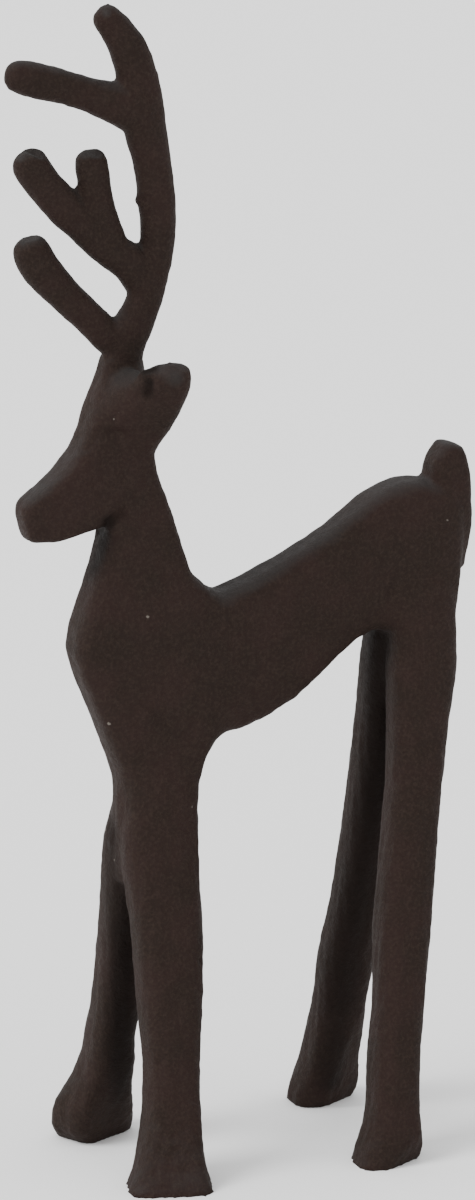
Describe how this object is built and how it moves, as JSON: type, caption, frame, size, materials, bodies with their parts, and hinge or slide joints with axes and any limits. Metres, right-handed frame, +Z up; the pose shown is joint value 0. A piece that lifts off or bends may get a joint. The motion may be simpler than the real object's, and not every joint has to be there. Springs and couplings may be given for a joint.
{
  "type": "reindeer figure",
  "caption": "Standing reindeer figure cast in aluminium: flat-sided body, one branching antler, splayed legs on flat feet.",
  "frame": {"origin": "on the ground under the middle of the figure's bounding box", "axes": "+Z up, -Y the way the animal faces, +X the animal's left side"},
  "size_m": [0.0656, 0.124, 0.3003],
  "materials": {
    "reindeer": "matt dark brown finish over a sand-cast surface"
  },
  "bodies": {
    "root": {"reindeer": "reindeer"}
  },
  "joints": []
}
